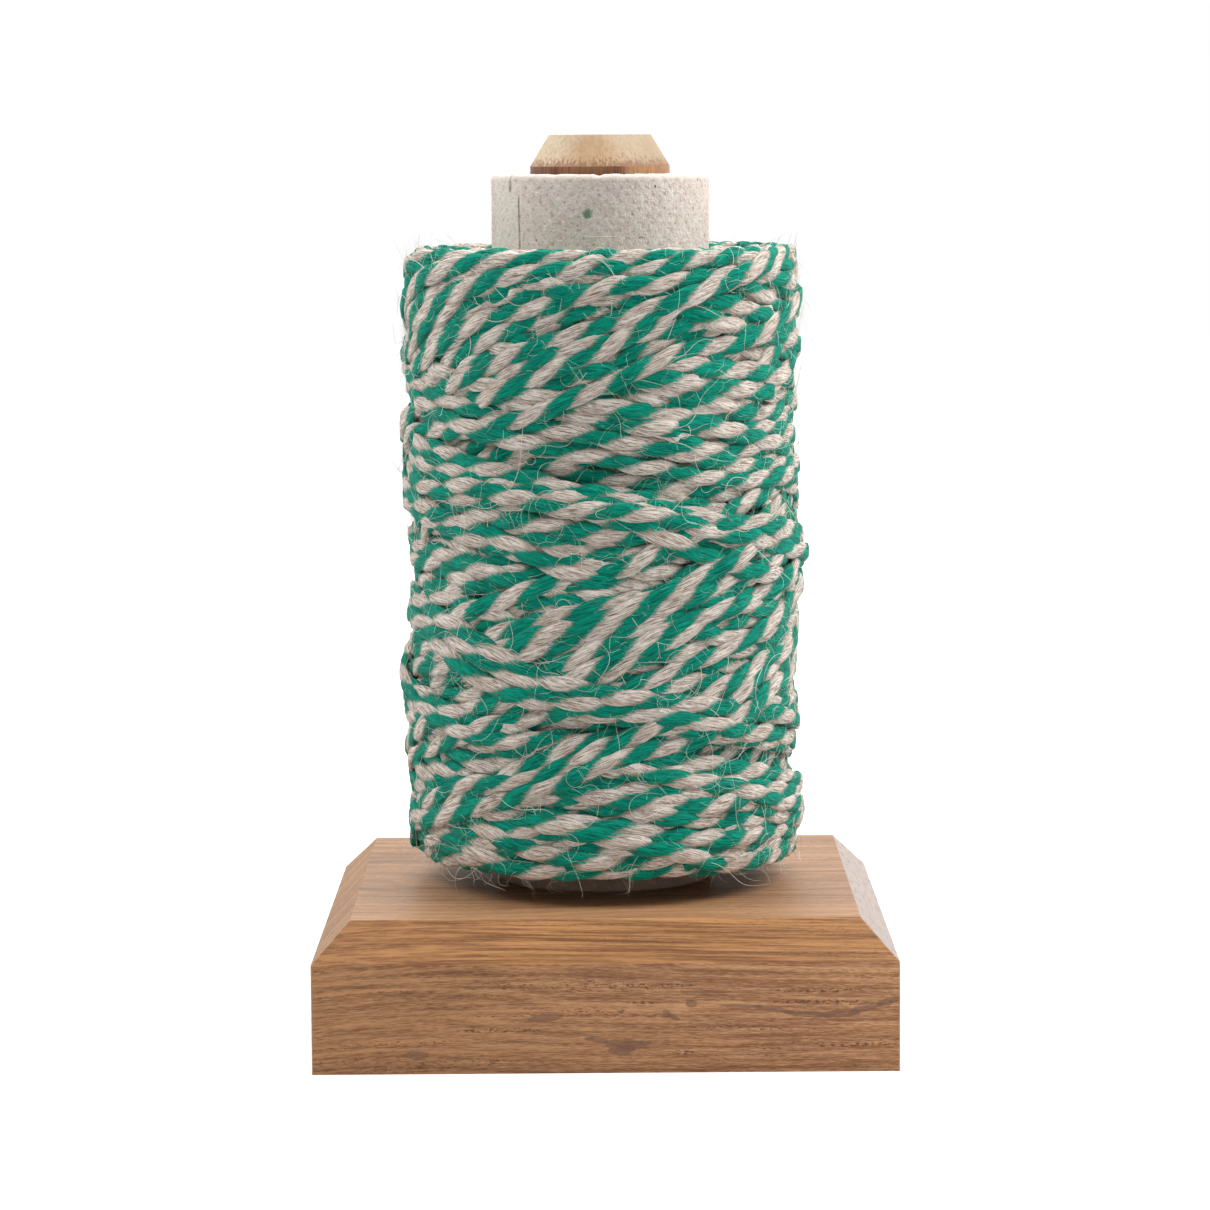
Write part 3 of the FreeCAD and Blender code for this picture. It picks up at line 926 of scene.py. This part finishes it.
def unroll_strands(piece, lengths):
    """A flat map with the strands unrolled side by side in even rows, so that no two faces overlap."""
    rings = sum(lengths)
    wide = TWINE_WIDTH * 2.7
    rows = max(1, math.ceil(math.sqrt(rings * RING_SPACING / wide)))
    row_rings = math.ceil(rings / rows) + 1
    corners = []
    ring_number = 0
    lower = np.array([0, 0, 1, 1])
    across = np.array([0, 1, 1, 0])
    for count in lengths:
        station = np.repeat(ring_number + np.arange(count - 1), CORNERS_ROUND)
        corner = np.tile(np.arange(CORNERS_ROUND), count - 1)
        row, place = np.divmod(station, row_rings)
        u = (place[:, None] + lower[None, :]) / (row_rings + 1)
        v = (row[:, None] + 0.03 + 0.94 * (corner[:, None] + across[None, :]) / CORNERS_ROUND) / rows
        corners.append(np.stack([u, v], axis=-1).reshape(-1, 2))
        for end in (ring_number, ring_number + count - 1):
            row, place = divmod(end, row_rings)
            turn = np.arange(CORNERS_ROUND) * TURN / CORNERS_ROUND
            u = (place + 0.3 * np.cos(turn) * 0.05 + 0.5) / (row_rings + 1)
            v = (row + 0.015 + 0.01 * np.sin(turn)) / rows
            corners.append(np.stack([u, v], axis=-1))
        ring_number += count
    flat_map = piece.data.uv_layers.new(name="OFBake")
    flat_map.data.foreach_set("uv", np.concatenate(corners).astype(np.float32).ravel())


def make_winding(winding, material):
    gathered = TwinePieces(material)
    travelled = 0.0
    for shown in winding.strands():
        centres, twist, stations = ring_stations(*shown)
        if len(centres) < 6:
            continue
        gathered.take(*twine_rings(centres, twist, stations + travelled))
        travelled += stations[-1]
    gathered.close()
    return gathered.pieces


def make_inner_layers(material, radius):
    """The layers under the ones that show, which close the gaps between strands."""
    inset = 5.5 * MM
    outline = [(TUBE_RADIUS + 0.3 * MM, inset), (radius - 3 * MM, inset), (radius, inset + 3 * MM)]
    low = [(reach, ROLL_LOW.z + up) for reach, up in outline]
    high = [(reach, ROLL_HIGH.z - up) for reach, up in outline[::-1]]
    outline = low + high
    sides = 120
    points = []
    for reach, up in outline:
        angle = np.arange(sides) * TURN / sides
        wavy = reach + (0.25 * MM * np.sin(angle * 17 + up * 900) if reach > TUBE_RADIUS + MM else 0)
        points.append(np.stack([wavy * np.cos(angle), wavy * np.sin(angle), np.full(sides, up)], axis=1))
    faces = ring_faces(len(outline), sides)
    return make_object("inner_layers", np.concatenate(points).tolist(), faces, material)


# Loose fibres

def running_total(steps):
    """Where each link starts, from the steps between them."""
    return np.concatenate([np.zeros((len(steps), 1)), np.cumsum(steps, axis=1)[:, :-1]], axis=1)


def hair_piece(name, centres, width, material):
    """Thin tapering hairs with three corners, one along each row of centres."""
    count, stations = centres.shape[:2]
    corners = 3
    forward = np.gradient(centres, axis=1)
    forward /= np.linalg.norm(forward, axis=2, keepdims=True) + 1e-12
    reference = centres * np.array([1, 1, 0]) / ROLL_RADIUS + np.array([0, 0, 0.3])
    side = np.cross(forward, reference)
    side /= np.linalg.norm(side, axis=2, keepdims=True) + 1e-12
    other = np.cross(forward, side)
    taper = width * (1 - 0.75 * np.linspace(0, 1, stations)[None, :] ** 2)
    turn = np.arange(corners) * TURN / corners
    rings = (centres[:, :, None, :]
             + taper[:, :, None, None] * np.cos(turn)[None, None, :, None] * side[:, :, None, :]
             + taper[:, :, None, None] * np.sin(turn)[None, None, :, None] * other[:, :, None, :])
    one_hair = np.array(tube_faces(stations, corners))
    each = stations * corners
    faces = (one_hair[None, :, :] + (np.arange(count) * each)[:, None, None]).reshape(-1, 4).tolist()
    for first in range(0, count * each, each):
        faces.append([first + 2, first + 1, first])
        faces.append([first + each - 3, first + each - 2, first + each - 1])
    return make_object(name, rings.reshape(-1, 3).tolist(), faces, material)


def make_fibres(name, count, lengths, thickness, links, lift, curl, winding, material):
    """Hairs that start in the winding, lean along it and curl away."""
    angle = rng.random(count) * TURN
    up = rng.random(count) * winding.drum.length
    start_radius = winding.surface(angle, up) - 0.3 * MM
    shortest, longest = lengths
    length = shortest + (longest - shortest) * rng.random(count) ** 1.8
    heading = rng.normal(0, 0.7, count) + np.where(rng.random(count) < 0.5, 0, math.pi)
    rise = np.abs(rng.normal(0, lift, count)) + 0.05
    bend = rng.normal(0, curl, count) * np.where(rng.random(count) < 0.3, 2.6, 0.8)
    droop = rng.normal(-0.6, 0.6, count)

    share = np.linspace(0, 1, links + 1)[None, :]
    wave = rng.uniform(3, 12, (count, 1)), rng.random((count, 1)) * TURN
    turning = heading[:, None] + bend[:, None] * share ** 1.4 + 0.5 * np.sin(share * wave[0] + wave[1])
    climb = rise[:, None] * (1 + droop[:, None] * share)
    step = (length / links)[:, None]
    radius = start_radius[:, None] + running_total(np.sin(climb) * step)
    around = angle[:, None] + running_total(np.cos(turning) * np.cos(climb) * step) / ROLL_RADIUS
    height = ROLL_LOW.z + up[:, None] + running_total(np.sin(turning) * np.cos(climb) * step)
    middle, room = (ROLL_LOW.z + ROLL_HIGH.z) / 2, (ROLL_HIGH.z - ROLL_LOW.z) / 2
    beyond = np.maximum(0, np.abs(height - middle) - room)
    height = height - np.sign(height - middle) * (beyond - 3 * MM * np.tanh(beyond / (3 * MM)))
    outside = winding.surface(around, height - ROLL_LOW.z) + 0.1 * MM
    radius = np.maximum(radius, np.where(share > 0.08, outside, 0))
    centres = np.stack([radius * np.cos(around), radius * np.sin(around), height], axis=-1)
    width = thickness * (0.6 + 0.8 * rng.random((count, 1)))
    return hair_piece(name, centres, width, material)


def hang_fibres(name, tufts, links, thickness, material):
    """Hairs that hang out of the winding's foot. Each tuft: angle, radius, height, spread, count, length."""
    lines = []
    for degrees, radius, height, spread, count, length in tufts:
        angle = math.radians(degrees) + rng.normal(0, spread / radius, (count, 1))
        share = np.linspace(0, 1, links + 1)[None, :]
        reach = length * (0.4 + 0.8 * rng.random((count, 1)))
        turning = rng.normal(0, 1.2, (count, 1)) + rng.normal(0, 2.4, (count, 1)) * share
        steps = reach / links
        sideways = running_total(np.sin(turning) * steps)
        downwards = running_total(np.abs(np.cos(turning)) * steps) * 0.8
        outwards = running_total(rng.normal(0, 0.25, (count, 1)) * steps + 0 * share)
        at = radius + rng.normal(0, 0.5 * MM, (count, 1)) + outwards
        around = angle + sideways / radius
        lines.append(np.stack([at * np.cos(around), at * np.sin(around), height - downwards], axis=-1))
    centres = np.concatenate(lines)
    centres[:, :, 2] = np.maximum(centres[:, :, 2], BLOCK_TOP + 0.4 * MM)
    width = thickness * (0.6 + 0.8 * rng.random((len(centres), 1)))
    return hair_piece(name, centres, width, material)


# Tufts at the winding's foot and fuzz round the tube's lower end
HANGING_TUFTS = [
    (-146, 39.3 * MM, 38.5 * MM, 1.5 * MM, 7, 9 * MM),
    (-133, 37.5 * MM, 34.5 * MM, 1.2 * MM, 9, 8 * MM),
    (-117, 34.0 * MM, 33.5 * MM, 1.0 * MM, 5, 6 * MM),
    (-104, 34.0 * MM, 33.2 * MM, 0.8 * MM, 3, 8 * MM),
    (-78, 33.0 * MM, 33.2 * MM, 1.2 * MM, 5, 5 * MM),
    (-47, 36.0 * MM, 35.0 * MM, 1.0 * MM, 7, 7 * MM),
    (20, 36.0 * MM, 35.0 * MM, 1.5 * MM, 5, 7 * MM),
    (95, 35.0 * MM, 34.0 * MM, 1.5 * MM, 6, 7 * MM),
    (160, 37.0 * MM, 35.0 * MM, 1.5 * MM, 5, 7 * MM),
]
TUBE_FUZZ = [(turn, TUBE_RADIUS + 0.25 * MM, BLOCK_TOP + 3.2 * MM, 1.2 * MM, 12, 2.6 * MM)
             for turn in range(0, 360, 6)]


# The card tube

SEAM_ANGLE = math.radians(-90 - 47.6)
SEAM_STEP = math.radians(-7.6)
SEAM_STEP_DROP = 3.9 * MM
PLY_THICKNESS = 0.15 * MM
TUBE_WALL = 5.0 * MM
TUBE_SIDES = 268
RIM_ROUND = 1.1 * MM
EMBOSS_DEPTH = 0.08 * MM


def tube_outline():
    """Half section of the tube's wall: distance from the axis, height, and share of the outer ply."""
    full = TUBE_HIGH.z - TUBE_LOW.z
    bore = TUBE_RADIUS - TUBE_WALL
    heights = np.concatenate([
        np.arange(RIM_ROUND, 8 * MM, 0.5 * MM),
        np.linspace(9 * MM, 116 * MM, 10),
        np.arange(117 * MM, full - RIM_ROUND, 0.5 * MM),
    ])
    bends = np.linspace(0, math.pi / 2, 5)
    inner_round = RIM_ROUND * 0.5
    outer = [(TUBE_RADIUS - RIM_ROUND * (1 - math.cos(bend)), RIM_ROUND * (1 - math.sin(bend)), bend)
             for bend in bends]
    inner = [(bore + inner_round * (1 - math.sin(bend)), inner_round * (1 - math.cos(bend)))
             for bend in bends]
    outline = [(reach, drop, 1.0) for reach, drop, _ in outer[::-1]]
    outline += [(TUBE_RADIUS, height, 1.0) for height in heights[1:]]
    outline += [(reach, full - drop, 1.0 - bend / math.pi) for reach, drop, bend in outer]
    outline += [(reach, full - drop, 0.0) for reach, drop in inner]
    outline += [(reach, drop, 0.0) for reach, drop in inner[::-1]]
    return outline


def make_card_tube(material):
    """Wound card tube, whose outer ply ends in a straight lap with a small step near the top."""
    sides = TUBE_SIDES
    outline = tube_outline()
    full = TUBE_HIGH.z - TUBE_LOW.z
    lap = np.linspace(0, 1, sides - 1)
    lap = np.concatenate([lap * 0.9985, [0.9999]])
    points, board = [], []
    frayed = np.abs(smooth_noise(sides, 2 * MM, 0.5 * MM)) * np.hanning(sides) ** 0.1
    for reach, height, on_ply in outline:
        near_seam = np.maximum(0, 1 - np.minimum(lap, 1 - lap) / 0.05) ** 2
        step = SEAM_STEP if height > full - SEAM_STEP_DROP else 0.0
        angle = SEAM_ANGLE + lap * TURN + step * near_seam
        across = lap * TURN * TUBE_RADIUS
        diamonds = (np.cos(TURN * (across + height) / EMBOSS_PITCH)
                    + np.cos(TURN * (across - height) / EMBOSS_PITCH)) / 2
        ripple = 0.05 * MM * np.sin(angle * 3 + height * 300) + 0.03 * MM * np.sin(angle * 11 - height * 500)
        worn = 0.7 + 0.3 * np.sin(angle * 5 + height * 410) * np.sin(angle * 13 - height * 230)
        ply = diamonds * worn * EMBOSS_DEPTH + ripple - PLY_THICKNESS * (1 - lap)
        radius = reach + on_ply * ply
        rim_drop = 0.22 * MM * frayed * max(0.0, 1 - (full - height) / (1.5 * RIM_ROUND))
        points.append(np.stack([radius * np.cos(angle), radius * np.sin(angle),
                                TUBE_LOW.z + height - rim_drop], axis=1))
        board.append(np.stack([across, np.full(sides, height), np.full(sides, on_ply)], axis=1))
    piece = make_object("wound_card_tube", np.concatenate(points).tolist(), ring_faces(len(outline), sides),
                        material)
    set_places(piece, "board", np.concatenate(board))
    return piece


# Studio

def seen_plainly(tree):
    """1 for what the camera sees, also in a gloss or through glass."""
    path = add(tree, "ShaderNodeLightPath")
    seen = sums(tree, "MAXIMUM", path.outputs["Is Camera Ray"], path.outputs["Is Glossy Ray"])
    return sums(tree, "MAXIMUM", seen, path.outputs["Is Transmission Ray"])


def make_studio():
    """Pale floor, white surround, and large soft lamps."""
    floor_mesh = bpy.data.meshes.new("studio_floor")
    reach = 3.0
    floor_mesh.from_pydata([(-reach, -reach, 0), (reach, -reach, 0), (reach, reach, 0), (-reach, reach, 0)],
                           [], [[0, 1, 2, 3]])
    floor = bpy.data.objects.new("studio_floor", floor_mesh)
    bpy.context.scene.collection.objects.link(floor)
    material, tree, skin = new_material("studio_floor_white")
    place = own_place(tree)
    colour = blend_colours(tree, noise(tree, place, 40.0), (0.6, 0.6, 0.6, 1), (0.62, 0.62, 0.62, 1))
    from_foot = measured(tree, "LENGTH", place)
    glow = sums(tree, "MULTIPLY_ADD", between(tree, from_foot, 0.10, 0.30), 1 - FLOOR_GLOW, FLOOR_GLOW)
    fill(tree, skin, {"Base Color": colour, "Roughness": 0.9, "Specular IOR Level": 0.0,
                      "Emission Color": (1, 1, 1, 1),
                      "Emission Strength": times(tree, seen_plainly(tree), glow)})
    floor_mesh.materials.append(material)

    world = bpy.data.worlds.new("studio")
    bpy.context.scene.world = world
    world.use_nodes = True
    tree = world.node_tree
    strength = sums(tree, "MULTIPLY_ADD", seen_plainly(tree), 1 - WORLD_LIGHT, WORLD_LIGHT)
    fill(tree, tree.nodes["Background"], {"Color": (1, 1, 1, 1), "Strength": strength})

    for name, place, target, size, power in LAMPS:
        lamp = bpy.data.lights.new(name, "AREA")
        lamp.shape = "SQUARE"
        lamp.size = size
        lamp.energy = power
        holder = bpy.data.objects.new(name, lamp)
        holder.location = place
        holder.rotation_euler = (Vector(target) - Vector(place)).to_track_quat("-Z", "Y").to_euler()
        bpy.context.scene.collection.objects.link(holder)


WORLD_LIGHT = 0.25
FLOOR_GLOW = 0.62
LAMPS = [
    ("overhead_softbox", (0.0, 0.6, 1.1), (0, 0, 0.08), 0.9, 8.5),
    ("front_softbox", (0.3, -1.4, 0.35), (0, 0, 0.06), 1.0, 1.15),
    ("right_softbox", (0.54, -0.07, 0.66), (0, 0, 0.12), 0.5, 6.8),
    ("left_softbox", (-0.54, -0.07, 0.66), (0, 0, 0.12), 0.5, 4.2),
]

# The photo's camera, in metres and degrees
CAMERA_PLACE = (0.4 * MM, -827.0 * MM, 170.8 * MM)
CAMERA_TILT = math.radians(6.124)
CAMERA_ROLL = math.radians(-0.40)
FRAME_SIDE = 1210
FOCAL_PIXELS = 4205
SENSOR_WIDTH = 36.0


def make_camera():
    camera = bpy.data.cameras.new("photo_camera")
    camera.sensor_width = SENSOR_WIDTH
    camera.lens = FOCAL_PIXELS / FRAME_SIDE * SENSOR_WIDTH
    holder = bpy.data.objects.new("photo_camera", camera)
    down = Euler((math.pi / 2 - CAMERA_TILT, 0, 0)).to_matrix()
    holder.matrix_world = (Matrix.Translation(CAMERA_PLACE)
                           @ (down @ Matrix.Rotation(CAMERA_ROLL, 3, "Z")).to_4x4())
    bpy.context.scene.collection.objects.link(holder)
    bpy.context.scene.camera = holder


def dress_with(node, material):
    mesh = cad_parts[node].data
    mesh.materials.clear()
    mesh.materials.append(material)


# Put it together

make_studio()
make_camera()
bpy.context.scene.view_settings.view_transform = "Standard"

dress_with("base_block", block_oak())
dress_with("spindle", spindle_oak())

winding = Winding()
strands = make_winding(winding, twisted_jute())
inner_layers = make_inner_layers(deep_jute_painted_shade(), winding.lowest - 1.4 * MM)
tube = make_card_tube(grey_card())

cream = loose_fibre("cream_fibre", "#F6F0E4", "#E2D8C8")
pale_green = loose_fibre("green_fibre", "#5DBB9B", "#2C9C7A")
dusty = loose_fibre("dusty_fibre", "#C9B6A6", "#94806F")
hairs = [
    make_fibres("long_hairs", 1500, (5 * MM, 20 * MM), 0.05 * MM, 15, 0.15, 1.9, winding, cream),
    make_fibres("short_hairs", 3900, (2.5 * MM, 11 * MM), 0.03 * MM, 6, 0.24, 0.7, winding, cream),
    make_fibres("green_hairs", 1500, (2.5 * MM, 9 * MM), 0.032 * MM, 5, 0.25, 0.8, winding, pale_green),
    hang_fibres("hanging_tufts", HANGING_TUFTS, 9, 0.05 * MM, cream),
]
tube_fuzz = hang_fibres("tube_fuzz", TUBE_FUZZ, 4, 0.035 * MM, dusty)

for piece in strands + [inner_layers] + hairs:
    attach(piece, "spool")
    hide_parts("twine_roll")
for piece in (tube, tube_fuzz):
    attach(piece, "spool")
    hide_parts("card_tube")
